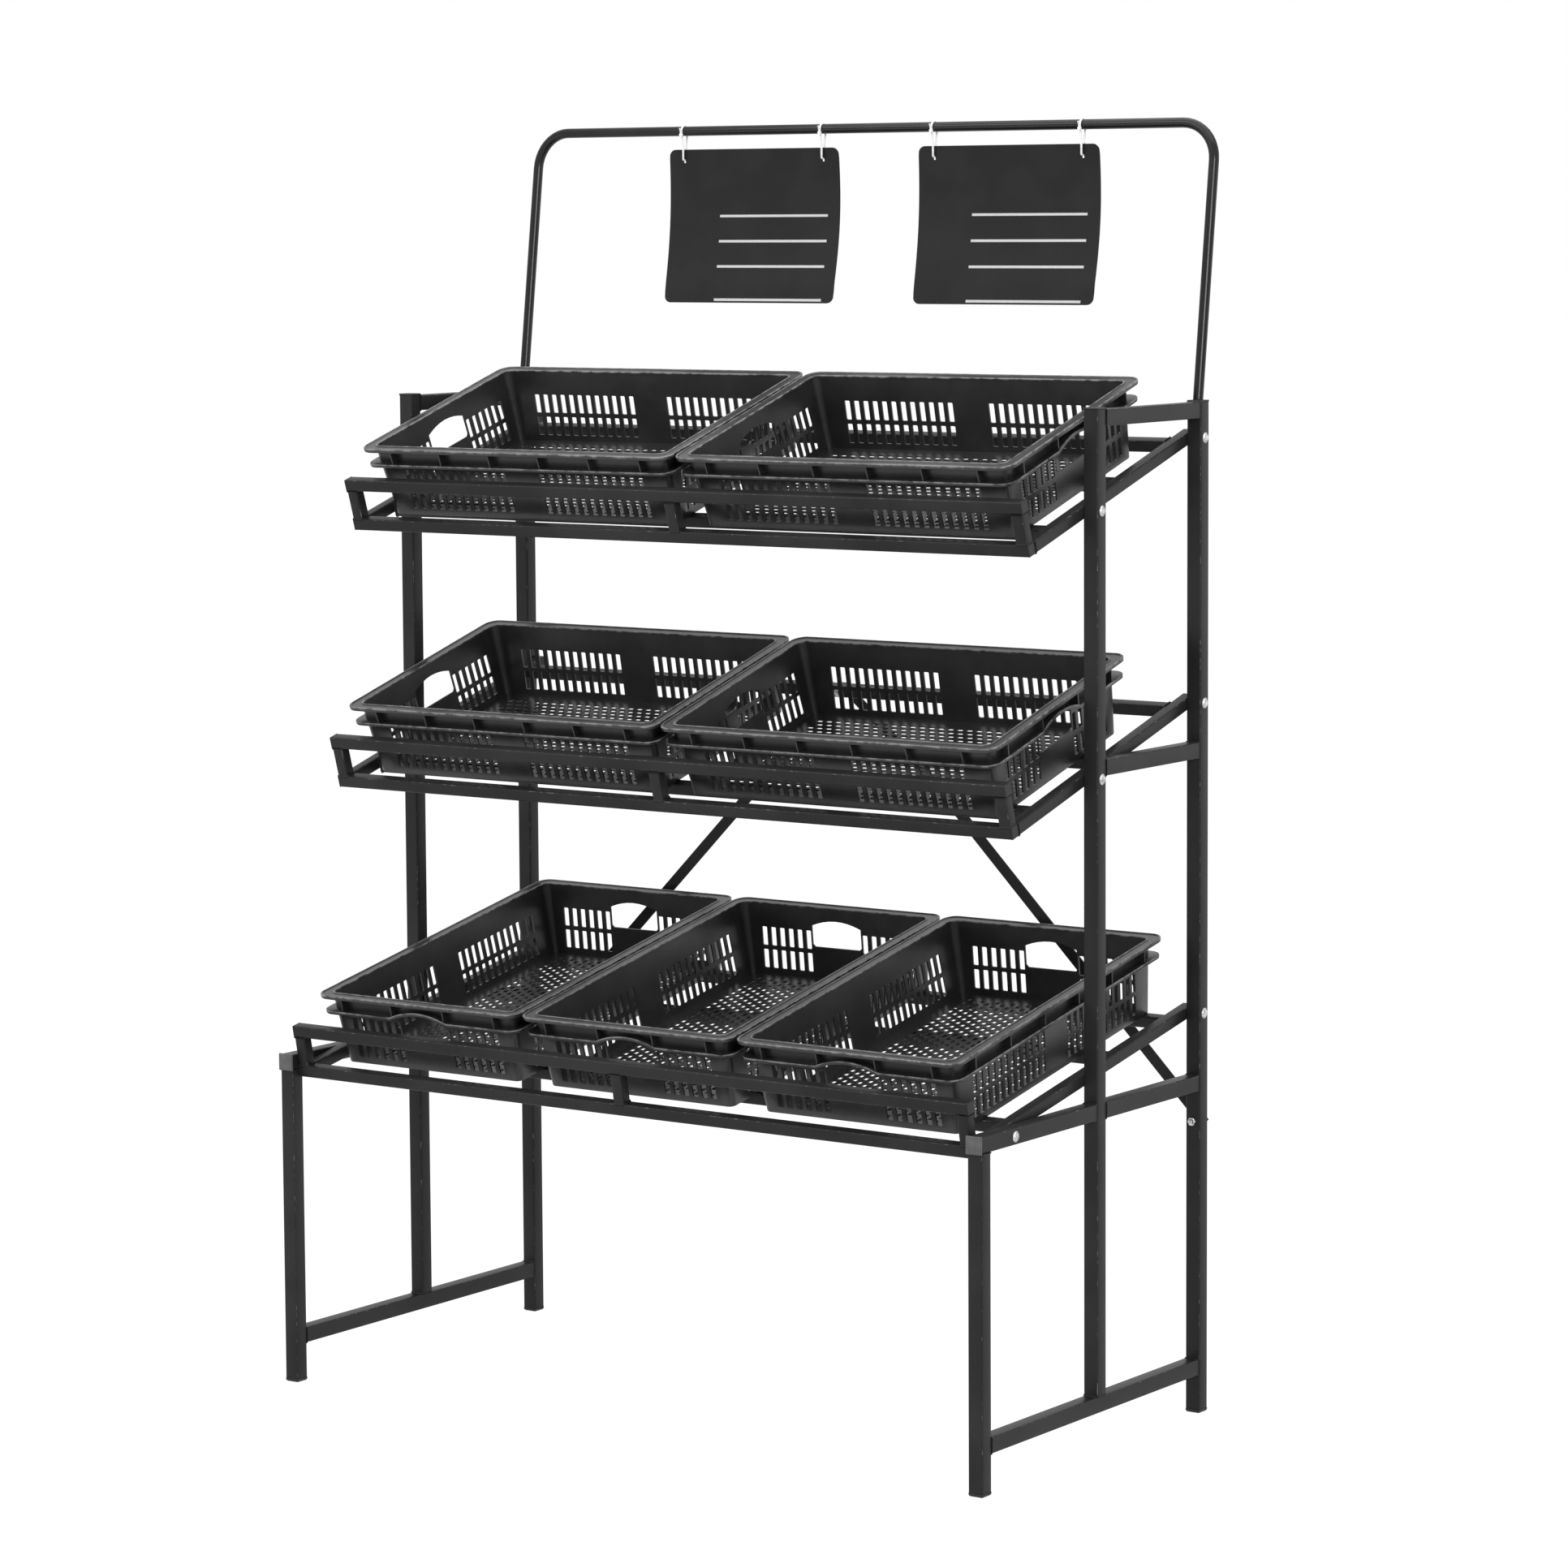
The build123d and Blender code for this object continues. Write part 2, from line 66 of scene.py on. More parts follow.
class Wire:  # a node socket that can stand in a sum
    def __init__(self, tree, socket=None):
        self.tree = tree
        self.socket = socket

    def make(self, kind, settings=None, sockets=None, out=0):
        node = self.tree.nodes.new("ShaderNode" + kind)
        for name, value in (settings or {}).items():
            setattr(node, name, value)
        for key, value in (sockets or {}).items():
            self.put(node.inputs[key], value)
        return Wire(self.tree, node.outputs[out] if node.outputs else None)

    def put(self, socket, value):
        if isinstance(value, Wire):
            self.tree.links.new(value.socket, socket)
        else:
            socket.default_value = value

    def calc(self, operation, first, second):
        return self.make("Math", {"operation": operation}, {0: first, 1: second})

    def __add__(self, other):
        return self.calc("ADD", self, other)

    def __radd__(self, other):
        return self.calc("ADD", other, self)

    def __sub__(self, other):
        return self.calc("SUBTRACT", self, other)

    def __rsub__(self, other):
        return self.calc("SUBTRACT", other, self)

    def __mul__(self, other):
        return self.calc("MULTIPLY", self, other)

    def __rmul__(self, other):
        return self.calc("MULTIPLY", other, self)

    def between(self, low, high):  # 0 below low, rising smoothly to 1 at high
        sockets = {"Value": self, "From Min": low, "From Max": high}
        return self.make("MapRange", {"interpolation_type": "SMOOTHSTEP"}, sockets)

    def mixed(self, low, high):  # from one colour to another as this value goes from 0 to 1
        sockets = {0: self, 6: low, 7: high}  # a Mix node's factor and its two colours
        return self.make("Mix", {"data_type": "RGBA"}, sockets, out=2)

    def noise(self, scale, detail):  # over this place
        return self.make("TexNoise", None, {"Vector": self, "Scale": scale, "Detail": detail})

    def bump(self, strength, depth, under=None):  # from this height, on top of another bump
        sockets = {"Strength": strength, "Distance": depth, "Height": self}
        if under:
            sockets["Normal"] = under
        return self.make("Bump", None, sockets, "Normal")


def newFinish(name):  # a material, its wires and the place on a piece that its textures follow
    finish = bpy.data.materials.new(name)
    finish.use_nodes = True
    wire = Wire(finish.node_tree)
    return finish, wire, wire.make("TexCoord", out="Object")


def fillShader(finish, wire, sockets):
    shader = finish.node_tree.nodes["Principled BSDF"]
    for name, value in sockets.items():
        wire.put(shader.inputs[name], value)
    return finish


def grey(value):
    return (value, value, value, 1)


# in all finishes a noise is (scale, detail), a range (from, to) and a bump (strength, depth)
paintLooks = {
    "framePaint": {
        "paint": grey(0.015), "dusty": grey(0.024), "bare": grey(0.14),
        "gloss": 0.34, "glossSpread": 0.12, "specular": 0.145,
        "cloud": (7, 5), "cloudRange": (0.35, 0.7), "chip": (95, 4), "chipRange": (0.5, 0.66),
        "peel": (520, 2), "peelBump": (0.5, 0.06 * mm),
    },
    "signPaint": {
        "paint": grey(0.009), "dusty": grey(0.014), "bare": grey(0.1),
        "gloss": 0.14, "glossSpread": 0.06, "specular": 0.24,
        "cloud": (9, 5), "cloudRange": (0.35, 0.7), "chip": (95, 4), "chipRange": (0.5, 0.66),
        "peel": (420, 2), "peelBump": (0.5, 0.02 * mm),
    },
}


def makePaint(name, look):  # black powder coat, thinner and chipped along the tube corners
    finish, wire, place = newFinish(name)
    cloud, chip, peel = [place.noise(*look[key]) for key in ("cloud", "chip", "peel")]
    wearAndHighlight = wire.make("Attribute", {"attribute_name": "wearAndHighlight"}, out="Fac")
    bare = (wearAndHighlight * chip).between(*look["chipRange"])
    coat = cloud.between(*look["cloudRange"]).mixed(look["paint"], look["dusty"])
    return fillShader(finish, wire, {
        "Base Color": bare.mixed(coat, look["bare"]),
        "Roughness": cloud * look["glossSpread"] + look["gloss"],
        "Normal": peel.bump(*look["peelBump"]),
        "Specular IOR Level": look["specular"],
    })


plasticLooks = {
    "cratePlastic": {
        # the paler edge colour is partly scuffing and partly a painted highlight on the crates'
        # raised rim edges
        "base": grey(0.0115), "pale": grey(0.019), "scuffAndHighlight": grey(0.18),
        "gloss": 0.25, "glossSpread": 0.16, "scuffGloss": 0.1, "specular": 0.5,
        "wave": (16, 3), "waveRange": (0.35, 0.7), "waveBump": (0.6, 0.7 * mm),
        "grain": (900, 2), "grainBump": (0.5, 0.05 * mm),
        "rub": (70, 6), "scuffHighlightRange": (0.3, 0.62),
    },
    "trimPlastic": {
        "base": grey(0.013), "pale": grey(0.02), "scuffAndHighlight": grey(0.06),
        "gloss": 0.42, "glossSpread": 0.1, "scuffGloss": 0.1, "specular": 0.25,
        "wave": (60, 3), "waveRange": (0.35, 0.7), "waveBump": (0.6, 0.1 * mm),
        "grain": (1200, 2), "grainBump": (0.5, 0.04 * mm),
        "rub": (120, 6), "scuffHighlightRange": (0.55, 0.75),
    },
    "plugPlastic": {
        "base": grey(0.08), "pale": grey(0.11), "scuffAndHighlight": grey(0.14),
        "gloss": 0.46, "glossSpread": 0.1, "scuffGloss": 0.1, "specular": 0.3,
        "wave": (60, 3), "waveRange": (0.35, 0.7), "waveBump": (0.6, 0.1 * mm),
        "grain": (1200, 2), "grainBump": (0.5, 0.04 * mm),
        "rub": (120, 6), "scuffHighlightRange": (0.55, 0.75),
    },
}


def makePlastic(name, look):  # moulded: a fine grain, a slightly uneven skin, and paler edges that are partly scuffs and partly a painted highlight
    finish, wire, place = newFinish(name)
    wave, grain, rub = [place.noise(*look[key]) for key in ("wave", "grain", "rub")]
    wearAndHighlight = wire.make("Attribute", {"attribute_name": "wearAndHighlight"}, out="Fac")
    # paler edges: partly scuffs, partly a painted highlight along the crates' raised rims
    scuffHighlightMask = (wearAndHighlight * rub).between(*look["scuffHighlightRange"])
    skin = wave.between(*look["waveRange"]).mixed(look["base"], look["pale"])
    uneven = wave.bump(*look["waveBump"])
    return fillShader(finish, wire, {
        "Base Color": scuffHighlightMask.mixed(skin, look["scuffAndHighlight"]),
        "Roughness": rub * look["glossSpread"] + look["gloss"] + scuffHighlightMask * look["scuffGloss"],
        "Normal": grain.bump(*look["grainBump"], uneven),
        "Specular IOR Level": look["specular"],
    })


zincLook = {
    "bright": grey(0.62), "dull": grey(0.4), "gloss": 0.24, "glossSpread": 0.2,
    "cloud": (140, 4), "cloudRange": (0.35, 0.65),
    "spangleScale": 420, "spangleBump": (0.4, 0.03 * mm),
}


def makeZinc(name, look):  # bright zinc plate with a faint spangle
    finish, wire, place = newFinish(name)
    cloud = place.noise(*look["cloud"])
    sockets = {"Vector": place, "Scale": look["spangleScale"]}
    spangle = wire.make("TexVoronoi", None, sockets, "Distance")
    return fillShader(finish, wire, {
        "Base Color": cloud.between(*look["cloudRange"]).mixed(look["bright"], look["dull"]),
        "Roughness": cloud * look["glossSpread"] + look["gloss"],
        "Normal": spangle.bump(*look["spangleBump"]),
        "Metallic": 1,
    })


boardLook = {
    "sheet": grey(0.009), "rubbed": grey(0.014), "line": grey(0.62),
    "gloss": 0.5, "glossSpread": 0.12, "specular": 0.19,
    "cloud": (14, 6), "cloudRange": (0.35, 0.7),
    "grain": (1500, 3), "grainBump": (0.4, 0.03 * mm), "inkRange": (0.2, 0.45),
    "lineDrops": (109, 150, 191, 245), "lineThick": 4, "lineSoft": 0.25,  # in mm from here on
    "lineStart": 100, "lineEnd": 312,
}


def makeBoard(name, low, high, look):  # matt charcoal sheet printed with four plain ruled lines
    finish, wire, place = newFinish(name)
    across, height = [wire.make("SeparateXYZ", None, {0: place}, axis) for axis in ("X", "Z")]
    cloud, grain = place.noise(*look["cloud"]), place.noise(*look["grain"])

    def inside(value, start, end):  # 1 from start to end, with soft edges
        soft = look["lineSoft"] * mm
        begun, ended = [value.between(spot - soft, spot + soft) for spot in (start, end)]
        return begun * (1 - ended)

    half = look["lineThick"] / 2
    lines = [
        inside(height, high.z - (drop + half) * mm, high.z - (drop - half) * mm)
        for drop in look["lineDrops"]
    ]
    span = inside(across, low.x + look["lineStart"] * mm, low.x + look["lineEnd"] * mm)
    printed = sum(lines[1:], lines[0]) * span * grain.between(*look["inkRange"])
    sheet = cloud.between(*look["cloudRange"]).mixed(look["sheet"], look["rubbed"])
    return fillShader(finish, wire, {
        "Base Color": printed.mixed(sheet, look["line"]),
        "Roughness": cloud * look["glossSpread"] + look["gloss"],
        "Normal": grain.bump(*look["grainBump"]),
        "Specular IOR Level": look["specular"],
    })


nylonLook = {
    "clear": grey(0.9), "milky": grey(0.8), "gloss": 0.38, "glossSpread": 0.1,
    "cloud": (180, 3), "cloudRange": (0.35, 0.7), "cloudBump": (0.4, 0.05 * mm),
}


def makeNylon(name, look):  # natural nylon, a little milky
    finish, wire, place = newFinish(name)
    cloud = place.noise(*look["cloud"])
    return fillShader(finish, wire, {
        "Base Color": cloud.between(*look["cloudRange"]).mixed(look["clear"], look["milky"]),
        "Roughness": cloud * look["glossSpread"] + look["gloss"],
        "Normal": cloud.bump(*look["cloudBump"]),
    })


framePaint, signPaint = [makePaint(name, look) for name, look in paintLooks.items()]
cratePlastic, trimPlastic, plugPlastic = [
    makePlastic(name, look) for name, look in plasticLooks.items()
]
zincSteel = makeZinc("zincSteel", zincLook)
tieNylon = makeNylon("tieNylon", nylonLook)
print("finishes made")


def newMesh():
    bm = bmesh.new()
    # a mark per corner: chipped paint on the tubes, and paler crate rim edges that are partly a
    # painted highlight
    return bm, bm.verts.layers.float.new("wearAndHighlight")


def meshOf(bm, name):
    bmesh.ops.recalc_face_normals(bm, faces=bm.faces)
    mesh = bpy.data.meshes.new(name)
    bm.to_mesh(mesh)
    bm.free()
    return mesh


def finishPiece(name, mesh, finish, slot, *replaced, crease=35):
    mesh.materials.append(finish)
    mesh.shade_smooth()
    mesh.set_sharp_from_angle(angle=math.radians(crease))
    piece = bpy.data.objects.new(name, mesh)
    bpy.context.scene.collection.objects.link(piece)
    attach(piece, nodes[replaced[0]]["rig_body"])
    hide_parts(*replaced)


def closedRings(bm, rings, joinEnds=False):  # quads between closed loops of equal length
    pairs = list(zip(rings, rings[1:]))
    if joinEnds:
        pairs.append((rings[-1], rings[0]))
    for first, second in pairs:
        for k in range(len(first)):
            bm.faces.new((first[k - 1], first[k], second[k], second[k - 1]))


def capEnds(bm, rings):
    bm.faces.new(rings[0])
    bm.faces.new(rings[-1])


sameSpot = 0.002 * mm  # corners of a CAD mesh that are closer than this are one
sortDigits = 5  # of a box's place in metres


def looseBoxes(node, tilt=0.0):  # the box of each solid of a node, in a frame tilted about X
    turn = Matrix.Rotation(-tilt, 3, "X")
    bm = bmesh.new()
    bm.from_mesh(nodes[node].data)
    bmesh.ops.remove_doubles(bm, verts=bm.verts, dist=sameSpot)
    left = set(bm.verts)
    boxes = []
    while left:
        stack = [left.pop()]
        points = []
        while stack:
            vert = stack.pop()
            points.append(turn @ vert.co)
            for edge in vert.link_edges:
                other = edge.other_vert(vert)
                if other in left:
                    left.discard(other)
                    stack.append(other)
        boxes.append((Vector(map(min, zip(*points))), Vector(map(max, zip(*points)))))
    bm.free()
    return sorted(boxes, key=lambda box: [round(value, sortDigits) for value in box[0]])


quarters = ((1, 1), (-1, 1), (-1, -1), (1, -1))  # signs of x and y at a loop's four corners


def squareLoop(half, radius, cornerSteps, sideSteps=1):  # round a square tube
    loop = []  # x, y, normal x, normal y and cornerness of each point
    reach = half - radius
    for quarter, (sx, sy) in enumerate(quarters):
        for step in range(cornerSteps + 1):
            angle = math.pi / 2 * (quarter + step / cornerSteps)
            nx, ny = math.cos(angle), math.sin(angle)
            cornerness = math.sin(math.pi * step / cornerSteps)
            loop.append((sx * reach + radius * nx, sy * reach + radius * ny, nx, ny, cornerness))
        x, y = loop[-1][:2]
        for step in range(1, sideSteps):
            slide = 2 * reach * step / sideSteps
            loop.append((x - ny * slide, y + nx * slide, nx, ny, 0))
    return loop


tubeLook = {
    "corner": 2.6 * mm, "leastCorner": 0.8 * mm, "cornerSteps": 4, "wall": 1.2 * mm,
    "cutEdge": 0.35 * mm, "cutWear": 1, "boreWear": 0.5,
    "weldProfile": ((-0.3, 0), (1.7, 0), (1.275, 1), (0.51, 1.7), (-0.3, 2)),  # mm out, mm along
    "weldSteps": 7, "weldRipple": 0.22, "weldBeat": 2.4,
}


def addTube(bm, wearAndHighlight, low, high, turn, welds, look):
    size = high - low
    axis = max(range(3), key=lambda k: size[k])
    u, v = [k for k in range(3) if k != axis]
    half = size[u] / 2
    middle = (low + high) / 2

    def placed(x, y, along):
        spot = Vector(middle)
        spot[u] += x
        spot[v] += y
        spot[axis] = along
        return turn @ spot

    def ring(inset, along, wearAndHighlightLevel=0):
        verts = []
        corner = max(look["corner"] - inset, look["leastCorner"])
        for x, y, _, _, cornerness in squareLoop(half - inset, corner, look["cornerSteps"]):
            vert = bm.verts.new(placed(x, y, along))
            vert[wearAndHighlight] = max(wearAndHighlightLevel, cornerness)
            verts.append(vert)
        return verts

    start, end = low[axis], high[axis]
    cut, cutWear = look["cutEdge"], look["cutWear"]
    wall, boreWear = look["wall"], look["boreWear"]
    rings = [
        ring(cut, start, cutWear), ring(0, start + cut),
        ring(0, end - cut), ring(cut, end, cutWear),
        ring(wall, end, boreWear), ring(wall, start, boreWear),
    ]
    closedRings(bm, rings, joinEnds=True)
    for welded, along, inward in ((welds[0], start, 1), (welds[1], end, -1)):
        if welded:
            addWeld(bm, placed, half, along, inward, look)


def addWeld(bm, placed, half, along, inward, look):  # rippled bead round a tube's end
    rings = [[] for _ in look["weldProfile"]]
    loop = squareLoop(half, look["corner"], look["cornerSteps"], look["weldSteps"])
    for k, (x, y, nx, ny, _) in enumerate(loop):
        swell = 1 + look["weldRipple"] * math.sin(k * look["weldBeat"])
        for ring, (out, lift) in zip(rings, look["weldProfile"]):
            out = out * mm * (swell if out > 0 else 1)
            level = along + inward * lift * mm * swell
            ring.append(bm.verts.new(placed(x + nx * out, y + ny * out, level)))
    closedRings(bm, rings, joinEnds=True)


frameTubes = {  # welds at the low and high ends of each tube
    "front_leg": (0, 1), "mid_post": (1, 0), "rear_post": (0, 0), "base_rail": (1, 1),
    "table_rail_front": (0, 1), "table_rail_rear": (1, 1), "upper_rail": (1, 1), "top_rail": (1, 1),
}
shelfTubes = {
    "front_rail": (0, 0), "lip_bar": (0, 0), "lip_posts": (1, 1), "side_rails": (1, 0),
    "support_rails": (1, 1), "back_rail": (1, 1),
}
shelfTilts = {"top_shelf": 17.5, "middle_shelf": 16.3, "lower_shelf": 11.2}  # in degrees


def tubePiece(node, tilt, welds):
    bm, wearAndHighlight = newMesh()
    for low, high in looseBoxes(node, tilt):
        addTube(bm, wearAndHighlight, low, high, Matrix.Rotation(tilt, 3, "X"), welds, tubeLook)
    finishPiece(f"{node}_tube", meshOf(bm, node), framePaint, "frame_paint", node)


for side in ("left", "right"):
    for name, welds in frameTubes.items():
        tubePiece(f"{side}_{name}", 0, welds)
for shelf, degrees in shelfTilts.items():
    for name, welds in shelfTubes.items():
        tubePiece(f"{shelf}_{name}", math.radians(degrees), welds)
print("tubes made")


def bentPath(points, radii, steps):  # straight runs with a round bend at each inner point
    path = [points[0]]
    for before, corner, after, radius in zip(points, points[1:], points[2:], radii):
        back = (before - corner).normalized()
        ahead = (after - corner).normalized()
        half = back.angle(ahead) / 2
        centre = corner + (back + ahead).normalized() * radius / math.sin(half)
        first = corner + back * radius / math.tan(half) - centre
        last = corner + ahead * radius / math.tan(half) - centre
        path += [centre + first.slerp(last, step / steps) * radius for step in range(steps + 1)]
    return path + [points[-1]]


def sweptRings(bm, path, profile, closed=False):  # the profile's first axis lies along X
    rings = []
    count = len(path)
    side = Vector((1, 0, 0))
    for k, point in enumerate(path):
        before = path[k - 1] if k or closed else point
        after = path[(k + 1) % count] if k < count - 1 or closed else point
        ahead = (after - before).normalized()
        side = (side - ahead * side.dot(ahead)).normalized()
        up = ahead.cross(side)
        rings.append([bm.verts.new(point + side * a + up * b) for a, b in profile])
    closedRings(bm, rings, joinEnds=closed)
    return rings


def circle(radius, sides):
    angles = [2 * math.pi * k / sides for k in range(sides)]
    return [(radius * math.cos(angle), radius * math.sin(angle)) for angle in angles]


def barRadius():  # the sign bar stands on the middle of the rear post, and its side ends its box
    postLow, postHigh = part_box("right_rear_post")
    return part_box("sign_frame")[1].x - (postLow.x + postHigh.x) / 2


signLook = {
    "footBend": 60 * mm, "barBend": 58 * mm, "bendSteps": 10, "sides": 20, "bush": 3 * mm,
}


def makeSignFrame(look):
    low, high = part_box("sign_frame")
    postLow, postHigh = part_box("right_rear_post")
    radius = barRadius()
    postX, postY = (postLow.x + postHigh.x) / 2, (postLow.y + postHigh.y) / 2
    right = [
        Vector((postX, postY, low.z)),
        Vector((postX, postY, postHigh.z + look["bush"])),
        Vector((postX, high.y - radius, high.z - radius)),
    ]
    left = [Vector((-point.x, point.y, point.z)) for point in reversed(right)]
    radii = [look["footBend"], look["barBend"], look["barBend"], look["footBend"]]
    path = bentPath(right + left, radii, look["bendSteps"])
    bm, _ = newMesh()
    capEnds(bm, sweptRings(bm, path, circle(radius, look["sides"])))
    mesh = meshOf(bm, "sign_frame")
    finishPiece("sign_frame_bar", mesh, signPaint, "frame_paint", "sign_frame")


makeSignFrame(signLook)
print("sign frame made")

outwards = ((0, 1), (-1, 0), (0, -1), (1, 0))  # of a crate's walls, the two long ones with a y
crateLook = {  # in mm: reaches out from the walls' outer faces, heights over the floor's underside
    "height": 120, "top": 118, "rimReach": 16, "draft": math.tan(math.radians(5)),
    "wall": 2.6, "floor": 2, "corner": 10, "cornerGrowth": 0.45, "cornerSteps": 8,
    "foot": ((-1.4, 0), (-0.4, 0.5), (0, 1.8)),
    "slotRows": ((11, 42), (48.5, 79.5)), "slotWidth": 9.9, "slotClip": 1.2,
    "longSlots": (33, 17.5, 12), "shortSlots": (50, 17.3, 6),  # start, pitch and number
    "handleHalf": 47.5, "handleFoot": 53.5, "handleSide": 88, "handleTop": 98,
    "handleCorner": 4, "handleSteps": 12,
    "ventRows": 21, "ventRowPitch": 14, "ventColumns": 29, "ventPitch": 17.5,
    "ventLong": 11, "ventShort": 7.8,
    "rim": (
        (-2.9, 115.4), (-3.0, 119.2), (-2.3, 120), (-0.6, 120), (0.6, 118.6), (12.6, 118.6),
        (13.7, 120), (15.2, 120), (16, 119.2), (16, 114), (15.4, 113.4), (13.8, 113.4),
        (13.2, 114), (13.2, 116.4), (-0.6, 116.4), (-0.6, 115.4),
    ),
    # the rim's raised top edges get the paler edge colour, partly wear and partly a painted
    # highlight
    "rimWorn": (1, 2, 3, 6, 7, 8),
    "flange": (
        (-0.6, 90.2), (-0.6, 93), (12.8, 93), (13.8, 92.5), (14.2, 91.8), (14.2, 87.6),
        (13.6, 87), (12.4, 87), (11.8, 87.6), (11.8, 90.2),
    ),
    # the flange's top edge gets the same paler colour, partly wear and partly a painted highlight
    "flangeWorn": (3, 4), "edgeWearAndHighlight": 1, "sideWear": 0.2,
    "archHalf": 56, "archRise": 12, "archSteps": 16,
    "longRibs": (49, 147, 245), "shortRibs": (52, 152),
    "ribThick": 2.4, "ribSink": 0.8, "ribReach": 12.2, "ribSpan": (92, 117.2),
}


def buildCrate(look):  # about the middle of its floor, in millimetres, long side along X
    bm, wearAndHighlight = newMesh()
    slope = look["draft"]
    spread = look["rimReach"] + look["height"] * slope
    low, high = looseBoxes("top_shelf_left_crate", math.radians(shelfTilts["top_shelf"]))[0]
    halfLong, halfShort = [(high[k] - low[k]) / 2 / mm - spread for k in (0, 1)]
    perCorner = look["cornerSteps"] + 1
    count = 4 * perCorner
    straights = [(perCorner * k - 1, (perCorner * k) % count) for k in range(1, 5)]

    def ring(out, z, wearAndHighlightLevel=0, arched=False):  # round the walls, and up over the handles if arched
        reach = out + z * slope
        corner = look["corner"] + look["cornerGrowth"] * reach
        spots = []
        for quarter, (sx, sy) in enumerate(quarters):
            x, y = sx * (halfLong + reach - corner), sy * (halfShort + reach - corner)
            for step in range(perCorner):
                angle = math.pi / 2 * (quarter + step / look["cornerSteps"])
                spots.append((x + corner * math.cos(angle), y + corner * math.sin(angle), z))
            if arched and sx != sy:
                for step in range(look["archSteps"] + 1):
                    along = 1 - 2 * step / look["archSteps"]
                    lift = look["archRise"] * (1 - along**2)
                    spots.append((sx * (halfLong + reach), sy * along * look["archHalf"], z + lift))
        verts = [bm.verts.new(spot) for spot in spots]
        for vert in verts:
            vert[wearAndHighlight] = wearAndHighlightLevel
        return verts

    def onWall(outward, s, z, out):  # s along the wall, out from its outer face
        reach = (halfShort if outward[1] else halfLong) + z * slope + out
        return (outward[0] * reach - outward[1] * s, outward[1] * reach + outward[0] * s, z)

    def roundCorners(lower, upper):  # the walls between them come with their holes
        for k in range(count):
            after = (k + 1) % count
            if (k, after) not in straights:
                bm.faces.new((lower[k], lower[after], upper[after], upper[k]))

    def loopEdges(verts):
        pairs = [(verts[k - 1], verts[k]) for k in range(len(verts))]
        return [bm.edges.get(pair) or bm.edges.new(pair) for pair in pairs]

    def pierced(skins):  # two skins with the same holes, joined round each hole
        made = []
        for border, holes in skins:
            edges = loopEdges(border)
            loops = [[bm.verts.new(spot) for spot in hole] for hole in holes]
            for loop in loops:
                edges += loopEdges(loop)
            bmesh.ops.triangle_fill(bm, use_beauty=True, edges=edges)
            made.append(loops)
        for outerLoop, innerLoop in zip(*made):
            closedRings(bm, [outerLoop, innerLoop])

    def slotShape(middle, bottom, top):
        half, clip = look["slotWidth"] / 2, look["slotClip"]
        left, right = middle - half, middle + half
        return [
            (left + clip, bottom), (right - clip, bottom), (right, bottom + clip),
            (right, top - clip), (right - clip, top), (left + clip, top),
            (left, top - clip), (left, bottom + clip),
        ]

    def slotBlock(start, pitch, number):  # both rows, on each side of the wall's middle
        middles = [start + look["slotWidth"] / 2 + pitch * k for k in range(number)]
        return [
            slotShape(sign * middle, *row)
            for row in look["slotRows"] for middle in middles for sign in (-1, 1)
        ]

    def handleShape():  # clipped corners at the foot and an arched top
        half, base, side = look["handleHalf"], look["handleFoot"], look["handleSide"]
        clip, rise = look["handleCorner"], look["handleTop"] - side
        shape = [
            (-half, base + clip), (-half + clip, base),
            (half - clip, base), (half, base + clip),
        ]
        for step in range(look["handleSteps"] + 1):
            s = math.cos(math.pi * step / look["handleSteps"])
            shape.append((half * s, side + rise * (1 - s**2)))
        return shape

    foot = [ring(out, z) for out, z in look["foot"]]
    outerTop, innerTop = ring(0, look["top"]), ring(-look["wall"], look["top"])
    innerFoot = ring(-look["wall"], look["floor"])
    closedRings(bm, foot)
    roundCorners(foot[-1], outerTop)
    closedRings(bm, [outerTop, innerTop])
    roundCorners(innerFoot, innerTop)

    longHoles = slotBlock(*look["longSlots"])
    shortHoles = slotBlock(*look["shortSlots"]) + [handleShape()]
    for outward, (first, last) in zip(outwards, straights):
        holes = longHoles if outward[1] else shortHoles
        skins = []
        for lower, upper, out in ((foot[-1], outerTop, 0), (innerFoot, innerTop, -look["wall"])):
            border = [lower[first], lower[last], upper[last], upper[first]]
            loops = [[onWall(outward, s, z, out) for s, z in hole] for hole in holes]
            skins.append((border, loops))
        pierced(skins)

    vents = []
    a, b = look["ventLong"] / 2, look["ventShort"] / 2
    for row in range(look["ventRows"]):
        y = (row - (look["ventRows"] - 1) / 2) * look["ventRowPitch"]
        columns = look["ventColumns"] - row % 2  # every other row is staggered
        for column in range(columns):
            x = (column - (columns - 1) / 2) * look["ventPitch"]
            vents.append([(x - a, y - b), (x + a, y - b), (x + a, y + b), (x - a, y + b)])
    pierced([
        (border, [[(x, y, z) for x, y in vent] for vent in vents])
        for border, z in ((foot[0], 0), (innerFoot, look["floor"]))
    ])

    for name in ("rim", "flange"):
        rings = []
        for k, (out, z) in enumerate(look[name]):
            # edge points get the full mark: paler scuffs that are partly a painted highlight
            wearAndHighlightLevel = look["edgeWearAndHighlight"] if k in look[f"{name}Worn"] else look["sideWear"]
            rings.append(ring(out, z, wearAndHighlightLevel, arched=name == "flange"))
        closedRings(bm, rings, joinEnds=True)

    half, sink, reach = look["ribThick"] / 2, -look["ribSink"], look["ribReach"]
    section = ((-half, sink), (half, sink), (half, reach), (-half, reach))
    for outward in outwards:
        places = look["longRibs"] if outward[1] else look["shortRibs"]
        for s in [sign * place for place in places for sign in (1, -1)]:
            rib = [
                [bm.verts.new(onWall(outward, s + t, z, out)) for t, out in section]
                for z in look["ribSpan"]
            ]
            closedRings(bm, rib)
            capEnds(bm, rib)
    return meshOf(bm, "crate")


